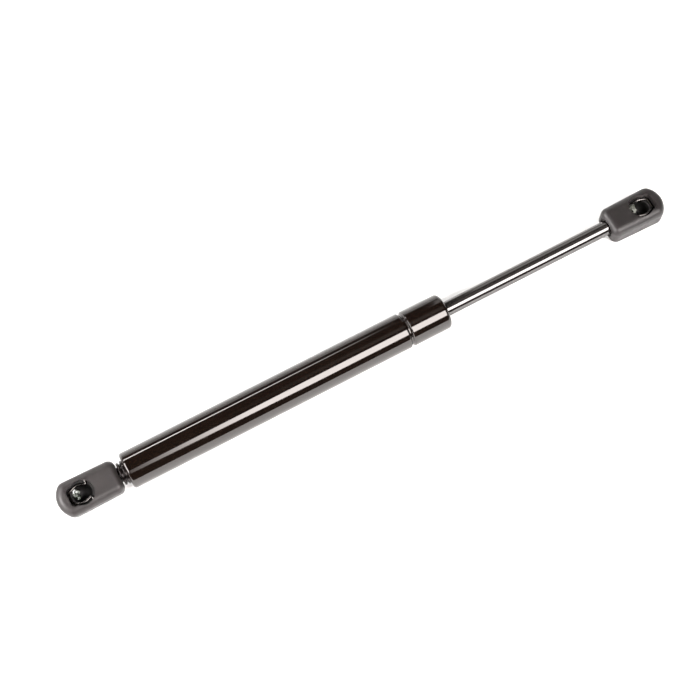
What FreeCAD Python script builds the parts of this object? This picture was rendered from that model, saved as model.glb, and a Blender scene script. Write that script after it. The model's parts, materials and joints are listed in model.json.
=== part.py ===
import FreeCAD, Part
import math
import os

import Sketcher

# Gas strut stay: a sealed tube filled with gas, a rod that slides out of it, and a moulded ball
# socket with a spring-wire clip on each end. All sizes are in millimetres.
#
# Frame: the origin is the centre of the ball that the tube's own socket takes. +X runs along the
# strut's axis towards the rod's end. +Z points up from the table that the strut lies on.

SIZES = [
    ("tube_outer", 19.0, "outside diameter of the pressure tube"),
    ("tube_wall", 1.0, "wall of the pressure tube"),
    ("tube_length", 180.0, "length of the pressure tube over its two rolled ends"),
    ("base_rounding", 1.9, "outer rounding of the tube's closed end"),
    ("base_opening", 12.4, "hole that is left in the tube's closed end"),
    ("front_rounding", 3.0, "outer rounding of the rolled end that the rod leaves"),
    ("front_opening", 10.4, "hole that is left in the rolled end that the rod leaves"),
    ("bead_from_end", 22.7, "middle of the rolled bead, from the rod's end of the tube"),
    ("bead_depth", 1.2, "depth of the rolled bead"),
    ("bead_width", 2.6, "width of the rolled bead at the tube's outside"),
    ("bead_floor", 0.9, "width of the rolled bead at its bottom"),
    ("bead_rounding", 0.35, "rounding of the bead's lips"),
    ("rod_diameter", 8.0, "diameter of the rod"),
    ("rod_shown", 97.9, "length of rod between the tube and its socket, fully out"),
    ("stroke", 95.0, "travel of the rod"),
    ("running_gap", 0.03, "radial clearance of the pieces that slide on the rod or in the tube"),
    ("seat_gap", 0.02, "clearance of the pieces that are fixed in the tube"),
    ("thread_diameter", 8.0, "thread of the stud and of the rod's end"),
    ("thread_pitch", 1.25, "pitch of both threads"),
    ("thread_depth", 0.62, "depth of both threads"),
    ("thread_reach", 10.6, "length of thread inside each socket"),
    ("thread_gap", 0.04, "radial clearance of the thread in its socket"),
    ("stud_shown", 0.6, "length of bare stud between the tube's socket and the base plug"),
    ("ring_diameter", 11.8, "outer ring of the base plug"),
    ("ring_width", 1.1, "width of that ring"),
    ("neck_diameter", 10.0, "neck between the base plug's ring and the tube"),
    ("neck_width", 0.9, "width of that neck"),
    ("collar_width", 1.1, "width of the collar outside the tube's closed end"),
    ("plug_length", 9.0, "length of the base plug inside the tube"),
    ("seal_cord", 1.5, "section diameter of the two sealing rings"),
    ("seal_groove_width", 2.1, "width of the grooves of the two sealing rings"),
    ("backing_width", 1.2, "width of the washer behind the rod seal"),
    ("lip_seal_width", 5.0, "width of the rod seal"),
    ("guide_width", 10.6, "width of the guide bush"),
    ("wiper_width", 2.2, "width of the wiper ring"),
    ("piston_width", 8.0, "width of the piston"),
    ("piston_gap", 0.15, "radial clearance of the piston in the tube"),
    ("piston_ring_width", 2.8, "width of the piston ring"),
    ("piston_ring_wall", 1.6, "radial wall of the piston ring"),
    ("ring_side_gap", 0.1, "play of the piston ring in its groove"),
    ("spigot_diameter", 5.6, "spigot of the rod that carries the piston"),
    ("washer_width", 1.2, "width of the stop washer and of the support washer"),
    ("nozzle_width", 0.6, "width of the nozzle disc"),
    ("rivet_diameter", 8.4, "riveted head of the rod's spigot"),
    ("rivet_width", 1.8, "width of that head"),
    ("ball_diameter", 10.0, "ball that each socket takes"),
    ("ball_gap", 0.05, "radial clearance of the ball in its cup"),
    ("socket_to_tip", 13.0, "ball centre to the socket's tip"),
    ("socket_to_neck", 19.7, "ball centre to the socket's neck face"),
    ("rod_socket_to_neck", 20.3, "the same for the rod's socket, which has a longer neck"),
    ("socket_tip_width", 18.3, "width of the socket at its tip"),
    ("socket_neck_width", 17.2, "width of the socket at its neck"),
    ("socket_thickness", 14.0, "thickness of the socket from its mouth to its back"),
    ("socket_tip_radius", 11.1, "radius of the socket's tip seen from its mouth"),
    ("socket_corner", 4.6, "rounding where that tip meets the sides"),
    ("socket_edge", 4.0, "rounding of the long edges and of the tip"),
    ("socket_neck_edge", 3.6, "rounding around the neck face"),
    ("mouth_diameter", 12.6, "round part of the mouth"),
    ("mouth_notch_width", 9.7, "square part of the mouth"),
    ("mouth_notch_reach", 7.2, "ball centre to the end of the square part"),
    ("mouth_corner", 2.0, "rounding of the square part's corners"),
    ("mouth_floor", 3.2, "ball centre to the floor that the clip lies on"),
    ("mouth_edge", 0.3, "rounding of the cup's edge"),
    ("neck_recess_diameter", 10.2, "recess around the thread in the neck face"),
    ("neck_recess_depth", 0.9, "depth of that recess"),
    ("clip_wire", 1.3, "wire of the retaining clip"),
    ("clip_gap", 0.1, "clearance of the wire in the socket"),
    ("clip_bridge_reach", 6.2, "ball centre to the clip's bridge"),
    ("clip_bridge_half", 2.9, "half the spread of the clip's bridge"),
    ("clip_bow_half", 4.75, "half the spread of the clip's arms at the ball"),
    ("clip_bow_back", 0.9, "how far the widest place of the arms lies towards the tip"),
    ("clip_heel_half", 3.2, "half the spread of the arms at their heel"),
    ("clip_pivot_reach", 3.7, "ball centre to the clip's pivot pins"),
    ("clip_pin_half", 7.0, "half the span over the clip's pivot pins"),
    ("clip_pin_hole_half", 7.4, "half the span over the holes of the pivot pins"),
    ("clip_bend", 0.95, "bend radius of the wire's tight bends, at its centre"),
    ("clip_bow", 5.0, "bend radius of the wire's bow, at its centre"),
    ("tube_socket_turn", 12.5, "turn of the tube's socket about the strut from +Z, in degrees"),
    ("rod_socket_turn", 0.0, "turn of the rod's socket about the strut from +Z, in degrees"),
]

doc = FreeCAD.newDocument("GasStrut")
sheet = doc.addObject("Spreadsheet::Sheet", "Sizes")
for row, (alias, number, words) in enumerate(SIZES, 1):
    sheet.set(f"A{row}", words)
    sheet.set(f"B{row}", str(number))
    sheet.setAlias(f"B{row}", alias)
doc.recompute()


class Size:
    """A size in millimetres, with the expression that ties a feature to the sheet."""

    def __init__(self, value, text):
        self.value = value
        self.text = text

    def joined(self, sign, other, value, swap=False):
        other_text = other.text if isinstance(other, Size) else repr(other)
        pair = (other_text, self.text) if swap else (self.text, other_text)
        return Size(value, f"({pair[0]} {sign} {pair[1]})")

    def __add__(self, other):
        return self.joined("+", other, self.value + plain(other))

    def __sub__(self, other):
        return self.joined("-", other, self.value - plain(other))

    def __mul__(self, other):
        return self.joined("*", other, self.value * plain(other))

    def __truediv__(self, other):
        return self.joined("/", other, self.value / plain(other))

    def __neg__(self):
        return self.joined("*", -1.0, -self.value)

    def root(self):
        return Size(math.sqrt(self.value), f"sqrt({self.text})")


def plain(size):
    return size.value if isinstance(size, Size) else float(size)


def size(alias):
    return Size(float(sheet.get(alias)), f"Sizes.{alias}")


NOTHING = Size(0.0, "0")

# Places that several pieces share, measured along the strut from the origin.
tube_radius = size("tube_outer") / 2
bore_radius = tube_radius - size("tube_wall")
rod_radius = size("rod_diameter") / 2
rod_bore_radius = rod_radius + size("running_gap")
seat_radius = bore_radius - size("seat_gap")
ring_start = size("socket_to_neck") + size("stud_shown")
outside_plug = size("ring_width") + size("neck_width") + size("collar_width")
tube_start = ring_start + outside_plug
tube_end = tube_start + size("tube_length")
bead_middle = tube_end - size("bead_from_end")
bead_reach = size("bead_width") / 2 + size("tube_wall") * 0.45
gland_start = bead_middle + bead_reach + size("seat_gap")
seal_start = gland_start + size("backing_width") + size("seat_gap")
guide_start = seal_start + size("lip_seal_width") + size("seat_gap")
wiper_start = guide_start + size("guide_width") + size("seat_gap")
end_washer_start = wiper_start + size("wiper_width") + size("seat_gap")
gland_end = tube_end - size("tube_wall") - size("seat_gap")
piston_stop = bead_middle - bead_reach - size("seat_gap")
stop_washer_start = piston_stop - size("washer_width")
piston_start = stop_washer_start - size("piston_width")
nozzle_start = piston_start - size("nozzle_width")
support_start = nozzle_start - size("washer_width")
rivet_start = support_start - size("rivet_width")
rod_shoulder = tube_end + size("rod_shown")
rod_ball = rod_shoulder + size("rod_socket_to_neck")


def new_body(label, start=NOTHING):
    """A body whose own frame starts at that place along the strut."""
    body = doc.addObject("PartDesign::Body", label)
    body.Label = label
    body.setExpression(".Placement.Base.x", start.text)
    return body


def new_sketch(body, name, plane="XY_Plane", lift=None):
    sketch = body.newObject("Sketcher::SketchObject", name)
    flat = [item for item in body.Origin.OriginFeatures if item.Role == plane][0]
    sketch.AttachmentSupport = [(flat, "")]
    sketch.MapMode = "FlatFace"
    if lift is not None:
        sketch.setExpression(".AttachmentOffset.Base.z", lift.text)
    sketch.Visibility = False
    return sketch


def tie(sketch, kind, geometry, end, distance):
    """Ties one coordinate of a geometry's end to a size, from the sketch's origin."""
    axis = -2 if kind == "DistanceX" else -1
    if distance.value == 0:
        sketch.addConstraint(Sketcher.Constraint("PointOnObject", geometry, end, axis))
        return
    if distance.value < 0:
        distance = -distance
        spots = (geometry, end, -1, 1)
    else:
        spots = (-1, 1, geometry, end)
    index = sketch.addConstraint(Sketcher.Constraint(kind, *spots, distance.value))
    sketch.setExpression(f"Constraints[{index}]", distance.text)


def tie_radius(sketch, geometry, radius):
    index = sketch.addConstraint(Sketcher.Constraint("Radius", geometry, radius.value))
    sketch.setExpression(f"Constraints[{index}]", radius.text)


def outline(sketch, corners):
    """A closed outline of straight lines, with both coordinates of every corner tied."""
    spots = [FreeCAD.Vector(x.value, y.value, 0) for x, y in corners]
    count = len(corners)
    for i in range(count):
        sketch.addGeometry(Part.LineSegment(spots[i], spots[(i + 1) % count]))
    for i in range(count):
        after = (i + 1) % count
        sketch.addConstraint(Sketcher.Constraint("Coincident", i, 2, after, 1))
    for i, (x, y) in enumerate(corners):
        tie(sketch, "DistanceX", i, 1, x)
        tie(sketch, "DistanceY", i, 1, y)


def turned(body, corners, name="Profile"):
    """A solid turned about the strut's axis from an outline of (along, radius) corners."""
    sketch = new_sketch(body, name)
    outline(sketch, corners)
    spin = body.newObject("PartDesign::Revolution", "Turned")
    spin.Profile = sketch
    spin.ReferenceAxis = (sketch, ["H_Axis"])
    spin.Angle = 360.0
    doc.recompute()
    return spin


def turned_cut(body, corners, name):
    """A cut turned about the strut's axis. It has to take material away."""
    before = body.Shape.Volume
    sketch = new_sketch(body, name)
    outline(sketch, corners)
    cut = body.newObject("PartDesign::Groove", name + "Cut")
    cut.Profile = sketch
    cut.ReferenceAxis = (sketch, ["H_Axis"])
    cut.Angle = 360.0
    doc.recompute()
    check_cut(body, before, name)
    return cut


def check_cut(body, before, name):
    if not body.Shape.Volume < before - 1e-3:
        raise RuntimeError(f"{body.Label}: {name} cuts nothing")


def circles(shape):
    """The names and circles of a shape's circular edges."""
    found = []
    for number, edge in enumerate(shape.Edges, 1):
        try:
            curve = edge.Curve
        except TypeError:
            continue
        if isinstance(curve, Part.Circle):
            found.append((f"Edge{number}", curve))
    return found


def rims(shape, along, radius):
    """The names of the circular edges at that place along the axis, of that radius."""
    return [
        name
        for name, circle in circles(shape)
        if abs(circle.Radius - plain(radius)) < 1e-3
        and abs(circle.Center.x - plain(along)) < 1e-3
    ]


def rounded(body, places, radius, kind="Fillet"):
    """Rounds or chamfers the circular edges at (along, radius) places."""
    base = body.Tip
    names = [name for place in places for name in rims(base.Shape, *place)]
    return dressed(body, base, names, radius, kind)


def dressed(body, base, names, radius, kind="Fillet"):
    feature = body.newObject(f"PartDesign::{kind}", kind)
    feature.Base = (base, sorted(set(names)))
    feature.setExpression("Radius" if kind == "Fillet" else "Size", radius.text)
    doc.recompute()
    return feature


def threaded(body, start, length, name="Thread"):
    """Cuts the rings of a thread of the sheet's pitch into a turned end, from start onwards."""
    pitch = size("thread_pitch")
    crest = size("thread_diameter") / 2
    root = crest - size("thread_depth")
    first = start + pitch * 0.6
    before = body.Shape.Volume
    cut = turned_cut(
        body,
        [
            (first - pitch * 0.44, crest + pitch * 0.02),
            (first - pitch * 0.06, root),
            (first + pitch * 0.06, root),
            (first + pitch * 0.44, crest + pitch * 0.02),
        ],
        name,
    )
    turns = int((length.value - pitch.value) / pitch.value) + 1
    pattern = body.newObject("PartDesign::LinearPattern", name + "Turns")
    pattern.Originals = [cut]
    pattern.Direction = (cut.Profile[0], ["H_Axis"])
    pattern.setExpression("Length", (pitch * float(turns - 1)).text)
    pattern.Occurrences = turns
    body.Tip = pattern
    doc.recompute()
    check_cut(body, before, name + "Turns")


# ---- tube and base plug


def pressure_tube():
    """Drawn tube, rolled in at both ends, with a rolled bead that keeps the gland in place."""
    body = new_body("pressure_tube", tube_start)
    wall, length, depth = size("tube_wall"), size("tube_length"), size("bead_depth")
    middle = length - size("bead_from_end")
    outer_half, floor_half = size("bead_width") / 2, size("bead_floor") / 2
    spread = wall * 0.45
    base_hole, front_hole = size("base_opening") / 2, size("front_opening") / 2
    turned(
        body,
        [
            (NOTHING, base_hole),
            (NOTHING, tube_radius),
            (middle - outer_half, tube_radius),
            (middle - floor_half, tube_radius - depth),
            (middle + floor_half, tube_radius - depth),
            (middle + outer_half, tube_radius),
            (length, tube_radius),
            (length, front_hole),
            (length - wall, front_hole),
            (length - wall, bore_radius),
            (middle + outer_half + spread, bore_radius),
            (middle + floor_half + spread, bore_radius - depth),
            (middle - floor_half - spread, bore_radius - depth),
            (middle - outer_half - spread, bore_radius),
            (wall, bore_radius),
            (wall, base_hole),
        ],
    )
    rounded(body, [(NOTHING, tube_radius)], size("base_rounding"))
    rounded(body, [(wall, bore_radius)], size("base_rounding") - wall)
    rounded(body, [(length, tube_radius)], size("front_rounding"))
    rounded(body, [(length - wall, bore_radius)], size("front_rounding") - wall)
    rounded(body, [(length, front_hole)], wall * 0.3)
    lips = [
        (middle - outer_half, tube_radius),
        (middle - floor_half, tube_radius - depth),
        (middle + floor_half, tube_radius - depth),
        (middle + outer_half, tube_radius),
    ]
    rounded(body, lips, size("bead_rounding"))
    return body


def sealing_ring(label, along, floor_radius, seat):
    """A round sealing ring between the bottom of its groove and the tube's bore."""
    ring = doc.addObject("Part::Torus", label)
    ring.Label = label
    middle = (floor_radius + seat) / 2
    ring.setExpression("Radius1", middle.text)
    ring.setExpression("Radius2", ((seat - floor_radius) / 2 - size("seat_gap")).text)
    ring.Placement = FreeCAD.Placement(
        FreeCAD.Vector(0, 0, 0), FreeCAD.Rotation(FreeCAD.Vector(0, 1, 0), 90)
    )
    ring.setExpression(".Placement.Base.x", along.text)
    return ring


groove_floor = bore_radius - size("seal_cord") - size("seat_gap") * 2
plug_groove = outside_plug + size("tube_wall") + size("plug_length") * 0.5


def base_plug():
    """Turned plug that closes the tube, with a grooved boss outside it and a threaded stud."""
    body = new_body("base_plug", ring_start)
    stud = size("stud_shown") + size("thread_reach")
    crest = size("thread_diameter") / 2
    ring, neck = size("ring_diameter") / 2, size("neck_diameter") / 2
    collar = size("base_opening") / 2 - size("seat_gap")
    ring_end = size("ring_width")
    neck_end = ring_end + size("neck_width")
    inside = outside_plug + size("tube_wall") + size("seat_gap")
    end = inside + size("plug_length")
    chamfer = size("base_rounding") - size("tube_wall") + size("seat_gap")
    half_groove = size("seal_groove_width") / 2
    dish = size("plug_length") * 0.3
    turned(
        body,
        [
            (-stud, NOTHING),
            (-stud, crest),
            (NOTHING, crest),
            (NOTHING, ring),
            (ring_end, ring),
            (ring_end, neck),
            (neck_end, neck),
            (neck_end, collar),
            (inside, collar),
            (inside, seat_radius - chamfer),
            (inside + chamfer, seat_radius),
            (plug_groove - half_groove, seat_radius),
            (plug_groove - half_groove, groove_floor),
            (plug_groove + half_groove, groove_floor),
            (plug_groove + half_groove, seat_radius),
            (end, seat_radius),
            (end, seat_radius - dish),
            (end - dish, NOTHING),
        ],
    )
    rounded(body, [(-stud, crest)], size("thread_depth"), "Chamfer")
    soft = size("ring_width") * 0.25
    rounded(body, [(NOTHING, ring), (ring_end, ring), (neck_end, collar)], soft)
    threaded(body, -stud, stud)
    return body


# ---- gland: what guides and seals the rod


def seal_backing_washer():
    """Steel washer between the bead and the rod seal."""
    body = new_body("seal_backing_washer", gland_start)
    width = size("backing_width")
    inner = rod_bore_radius + size("tube_wall") * 0.3
    turned(
        body,
        [
            (NOTHING, inner),
            (NOTHING, seat_radius),
            (width, seat_radius),
            (width, inner),
        ],
    )
    rounded(body, [(NOTHING, seat_radius), (width, seat_radius)], width * 0.2)
    return body


def rod_seal():
    """Rubber seal with a lip on the rod, a lip on the bore and a slot between them."""
    body = new_body("rod_seal", seal_start)
    width = size("lip_seal_width")
    lip = (seat_radius - rod_bore_radius) * 0.34
    heel = width * 0.45
    relief = size("tube_wall") * 0.25
    turned(
        body,
        [
            (NOTHING, rod_bore_radius + relief),
            (NOTHING, rod_bore_radius + lip),
            (width - heel, rod_bore_radius + lip + relief),
            (width - heel, seat_radius - lip - relief),
            (NOTHING, seat_radius - lip),
            (NOTHING, seat_radius - relief),
            (width * 0.15, seat_radius),
            (width, seat_radius),
            (width, rod_bore_radius + relief),
            (width * 0.3, rod_bore_radius + relief),
            (width * 0.12, rod_bore_radius),
        ],
    )
    return body


guide_groove = guide_start + size("guide_width") * 0.35


def guide_bush():
    """Bush that the rod runs in, with a groove for the gland's sealing ring."""
    body = new_body("guide_bush", guide_start)
    width = size("guide_width")
    half_groove = size("seal_groove_width") / 2
    groove = width * 0.35
    flare = size("tube_wall") * 0.5
    turned(
        body,
        [
            (NOTHING, rod_bore_radius + flare),
            (NOTHING, seat_radius),
            (groove - half_groove, seat_radius),
            (groove - half_groove, groove_floor),
            (groove + half_groove, groove_floor),
            (groove + half_groove, seat_radius),
            (width, seat_radius),
            (width, rod_bore_radius + flare),
            (width - flare, rod_bore_radius),
            (flare, rod_bore_radius),
        ],
    )
    rounded(body, [(NOTHING, seat_radius), (width, seat_radius)], flare, "Chamfer")
    return body


def inside_roll(along):
    """The radius inside the rolled end's bend, at a place beyond where the bend starts."""
    bend = size("front_rounding") - size("tube_wall")
    rise = bend - (tube_end - size("tube_wall") - along)
    return bore_radius - bend + (bend * bend - rise * rise).root()


def wiper_ring():
    """Rubber ring that keeps dirt off the rod as it slides in."""
    body = new_body("wiper_ring", wiper_start)
    width = size("wiper_width")
    relief = size("tube_wall") * 0.6
    outer = seat_radius - size("tube_wall") * 0.2
    turned(
        body,
        [
            (NOTHING, rod_bore_radius + relief),
            (NOTHING, outer),
            (width * 0.4, outer),
            (width, inside_roll(wiper_start + width) - size("tube_wall") * 0.2),
            (width, rod_bore_radius + relief),
            (width * 0.9, rod_bore_radius),
            (width * 0.65, rod_bore_radius),
        ],
    )
    return body


def end_washer():
    """Steel ring that the tube's end is rolled over."""
    body = new_body("end_washer", end_washer_start)
    width = gland_end - end_washer_start
    inner = size("front_opening") / 2 - size("tube_wall") * 0.5
    soft = size("tube_wall") * 0.2
    turned(
        body,
        [
            (NOTHING, inner),
            (NOTHING, inside_roll(end_washer_start) - soft),
            (width, bore_radius - size("front_rounding") + size("tube_wall")),
            (width, inner + soft),
            (width - soft, inner),
        ],
    )
    return body


# ---- rod and piston


def piston_rod():
    """Ground rod with a riveted spigot for the piston and a threaded end for its socket."""
    body = new_body("piston_rod", rivet_start)
    spigot = size("spigot_diameter") / 2
    head = size("rivet_width")
    shoulder = piston_stop - rivet_start
    thread_start = rod_shoulder - rivet_start
    end = thread_start + size("thread_reach")
    crest = size("thread_diameter") / 2
    turned(
        body,
        [
            (NOTHING, NOTHING),
            (NOTHING, size("rivet_diameter") / 2),
            (head, size("rivet_diameter") / 2),
            (head, spigot),
            (shoulder, spigot),
            (shoulder, rod_radius),
            (thread_start, rod_radius),
            (thread_start + size("thread_pitch") * 0.3, crest - size("thread_depth")),
            (thread_start + size("thread_pitch") * 0.6, crest - size("thread_depth")),
            (thread_start + size("thread_pitch"), crest),
            (end, crest),
            (end, NOTHING),
        ],
    )
    rounded(body, [(NOTHING, size("rivet_diameter") / 2)], head * 0.7)
    rounded(body, [(end, crest)], size("thread_depth"), "Chamfer")
    threaded(
        body,
        thread_start + size("thread_pitch") * 0.8,
        size("thread_reach") - size("thread_pitch") * 0.8,
    )
    return body


ring_groove_floor = bore_radius - size("piston_ring_wall") - size("ring_side_gap") * 2
bleed_count = 4


def piston():
    """Piston with a groove for its ring, a hole for the spigot and four bleed holes."""
    body = new_body("piston", piston_start)
    width = size("piston_width")
    outer = bore_radius - size("piston_gap")
    hole = size("spigot_diameter") / 2 + size("seat_gap")
    half = size("piston_ring_width") / 2 + size("ring_side_gap")
    middle = width / 2
    turned(
        body,
        [
            (NOTHING, hole),
            (NOTHING, outer),
            (middle - half, outer),
            (middle - half, ring_groove_floor),
            (middle + half, ring_groove_floor),
            (middle + half, outer),
            (width, outer),
            (width, hole),
        ],
    )
    rounded(body, [(NOTHING, outer), (width, outer)], size("tube_wall") * 0.5, "Chamfer")
    bleed_holes(body, width, (hole + ring_groove_floor) / 2, size("tube_wall") * 0.55)
    return body


def bleed_holes(body, width, circle, radius):
    """Four round holes through a disc, spaced evenly about the strut's axis."""
    before = body.Shape.Volume
    sketch = new_sketch(body, "BleedHole", "YZ_Plane")
    centre = FreeCAD.Vector(circle.value, 0, 0)
    sketch.addGeometry(Part.Circle(centre, FreeCAD.Vector(0, 0, 1), radius.value))
    tie(sketch, "DistanceX", 0, 3, circle)
    tie(sketch, "DistanceY", 0, 3, NOTHING)
    tie_radius(sketch, 0, radius)
    cut = body.newObject("PartDesign::Pocket", "Bleed")
    cut.Profile = sketch
    cut.setExpression("Length", (width * 2.0).text)
    cut.Midplane = True
    doc.recompute()
    pattern = body.newObject("PartDesign::PolarPattern", "Bleeds")
    pattern.Originals = [cut]
    pattern.Axis = (sketch, ["N_Axis"])
    pattern.Angle = 360.0
    pattern.Occurrences = bleed_count
    body.Tip = pattern
    doc.recompute()
    check_cut(body, before, "Bleed")


def plain_disc(label, start, width, inner, outer):
    """A flat turned ring."""
    body = new_body(label, start)
    turned(
        body,
        [(NOTHING, inner), (NOTHING, outer), (width, outer), (width, inner)],
    )
    rounded(body, [(NOTHING, outer), (width, outer)], width * 0.2)
    return body


def piston_stack():
    """The piston and the discs that the rod's spigot clamps with it."""
    hole = size("spigot_diameter") / 2 + size("seat_gap")
    outer = bore_radius - size("piston_gap")
    washer = size("washer_width")
    stop_outer = outer - size("bead_depth") / 4
    nozzle_outer = outer - size("tube_wall")
    stop = plain_disc("piston_stop_washer", stop_washer_start, washer, hole, stop_outer)
    nozzle = plain_disc("nozzle_disc", nozzle_start, size("nozzle_width"), hole, nozzle_outer)
    support = plain_disc("piston_support_washer", support_start, washer, hole, ring_groove_floor)
    bleed = (hole + ring_groove_floor) / 2
    bleed_holes(nozzle, size("nozzle_width"), bleed, size("nozzle_width") * 0.5)
    bleed_holes(support, washer, bleed, size("tube_wall") * 0.55)
    bleed_holes(stop, washer, bleed, size("tube_wall") * 0.55)
    return [stop, piston(), nozzle, support]


def piston_ring():
    """Sliding ring between the piston's groove and the tube's bore."""
    middle = piston_start + size("piston_width") / 2
    body = new_body("piston_ring", middle - size("piston_ring_width") / 2)
    width = size("piston_ring_width")
    outer = bore_radius - size("running_gap")
    inner = outer - size("piston_ring_wall")
    turned(
        body,
        [(NOTHING, inner), (NOTHING, outer), (width, outer), (width, inner)],
    )
    rounded(body, [(NOTHING, outer), (width, outer)], size("piston_ring_wall") * 0.15)
    return body


# ---- ball sockets and their clips


def side_profile(sketch, neck):
    """Seen from its mouth, the socket narrows a little to its neck and has a blunt round tip."""
    radius = size("socket_tip_radius")
    tip_half, neck_half = size("socket_tip_width") / 2, size("socket_neck_width") / 2
    centre = radius - size("socket_to_tip")
    reach = (radius * radius - tip_half * tip_half).root()
    swing = math.atan2(tip_half.value, -reach.value)
    corner = FreeCAD.Vector(centre.value - reach.value, tip_half.value, 0)
    mirror = FreeCAD.Vector(corner.x, -corner.y, 0)
    high = FreeCAD.Vector(neck.value, neck_half.value, 0)
    low = FreeCAD.Vector(neck.value, -neck_half.value, 0)
    circle = Part.Circle(FreeCAD.Vector(centre.value, 0, 0), FreeCAD.Vector(0, 0, 1), radius.value)
    sketch.addGeometry(Part.LineSegment(mirror, low))
    sketch.addGeometry(Part.LineSegment(low, high))
    sketch.addGeometry(Part.LineSegment(high, corner))
    sketch.addGeometry(Part.ArcOfCircle(circle, swing, 2 * math.pi - swing))
    for i in range(3):
        sketch.addConstraint(Sketcher.Constraint("Coincident", i, 2, i + 1, 1))
    sketch.addConstraint(Sketcher.Constraint("Coincident", 3, 2, 0, 1))
    for line, across in ((1, -neck_half), (2, neck_half)):
        tie(sketch, "DistanceX", line, 1, neck)
        tie(sketch, "DistanceY", line, 1, across)
    tie(sketch, "DistanceY", 3, 1, tip_half)
    tie(sketch, "DistanceY", 0, 1, -tip_half)
    tie(sketch, "DistanceX", 3, 3, centre)
    tie(sketch, "DistanceY", 3, 3, NOTHING)
    tie_radius(sketch, 3, radius)


def mouth_profile(sketch):
    """The mouth is round towards the neck and square, with rounded corners, towards the tip."""
    radius, half = size("mouth_diameter") / 2, size("mouth_notch_width") / 2
    rounding, end = size("mouth_corner"), size("mouth_notch_reach")
    reach = (radius * radius - half * half).root()
    swing = math.atan2(half.value, -reach.value)
    bend, across = rounding - end, half - rounding
    up = FreeCAD.Vector(0, 0, 1)
    circle = Part.Circle(FreeCAD.Vector(0, 0, 0), up, radius.value)
    high = Part.Circle(FreeCAD.Vector(bend.value, across.value, 0), up, rounding.value)
    low = Part.Circle(FreeCAD.Vector(bend.value, -across.value, 0), up, rounding.value)
    start = FreeCAD.Vector(-reach.value, half.value, 0)
    before = FreeCAD.Vector(bend.value, half.value, 0)
    after = FreeCAD.Vector(-end.value, across.value, 0)
    sketch.addGeometry(Part.LineSegment(start, before))
    sketch.addGeometry(Part.ArcOfCircle(high, math.pi / 2, math.pi))
    sketch.addGeometry(Part.LineSegment(after, FreeCAD.Vector(after.x, -after.y, 0)))
    sketch.addGeometry(Part.ArcOfCircle(low, math.pi, math.pi * 3 / 2))
    sketch.addGeometry(
        Part.LineSegment(
            FreeCAD.Vector(before.x, -before.y, 0), FreeCAD.Vector(start.x, -start.y, 0)
        )
    )
    sketch.addGeometry(Part.ArcOfCircle(circle, -swing, swing))
    for i in range(5):
        sketch.addConstraint(Sketcher.Constraint("Coincident", i, 2, i + 1, 1))
    sketch.addConstraint(Sketcher.Constraint("Coincident", 5, 2, 0, 1))
    sketch.addConstraint(Sketcher.Constraint("Coincident", 5, 3, -1, 1))
    tie_radius(sketch, 5, radius)
    tie(sketch, "DistanceY", 0, 1, half)
    tie(sketch, "DistanceY", 5, 1, -half)
    for arc, side in ((1, across), (3, -across)):
        tie_radius(sketch, arc, rounding)
        tie(sketch, "DistanceX", arc, 3, bend)
        tie(sketch, "DistanceY", arc, 3, side)
    tie(sketch, "DistanceX", 1, 1, bend)
    tie(sketch, "DistanceY", 1, 2, across)
    tie(sketch, "DistanceY", 3, 1, -across)
    tie(sketch, "DistanceX", 3, 2, bend)


def cup_profile(sketch):
    """Half a section of the cup: a ball's lower half with straight walls above it."""
    radius = size("ball_diameter") / 2 + size("ball_gap")
    top = size("mouth_floor") + size("mouth_edge")
    spots = [
        FreeCAD.Vector(radius.value, 0, 0),
        FreeCAD.Vector(radius.value, top.value, 0),
        FreeCAD.Vector(0, top.value, 0),
        FreeCAD.Vector(0, -radius.value, 0),
    ]
    for i in range(3):
        sketch.addGeometry(Part.LineSegment(spots[i], spots[i + 1]))
    circle = Part.Circle(FreeCAD.Vector(0, 0, 0), FreeCAD.Vector(0, 0, 1), radius.value)
    sketch.addGeometry(Part.ArcOfCircle(circle, -math.pi / 2, 0))
    for i in range(3):
        sketch.addConstraint(Sketcher.Constraint("Coincident", i, 2, i + 1, 1))
    sketch.addConstraint(Sketcher.Constraint("Coincident", 3, 2, 0, 1))
    sketch.addConstraint(Sketcher.Constraint("Coincident", 3, 3, -1, 1))
    tie_radius(sketch, 3, radius)
    tie(sketch, "DistanceY", 0, 1, NOTHING)
    tie(sketch, "DistanceY", 1, 1, top)
    tie(sketch, "DistanceX", 1, 1, radius)
    tie(sketch, "DistanceX", 2, 1, NOTHING)
    tie(sketch, "DistanceY", 2, 1, top)
    tie(sketch, "DistanceX", 3, 1, NOTHING)


def place_socket(item, at_rod):
    """Puts a piece of a socket on its ball, turned round on the rod, and rolls it to its angle."""
    roll = size("rod_socket_turn") if at_rod else size("tube_socket_turn")
    turn = FreeCAD.Rotation(FreeCAD.Vector(1, 0, 0), roll.value)
    about = FreeCAD.Rotation(FreeCAD.Vector(0, 0, 1), 180 if at_rod else 0)
    item.Placement = FreeCAD.Placement(FreeCAD.Vector(0, 0, 0), turn * about)
    item.setExpression(".Placement.Base.x", (rod_ball if at_rod else NOTHING).text)


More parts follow.
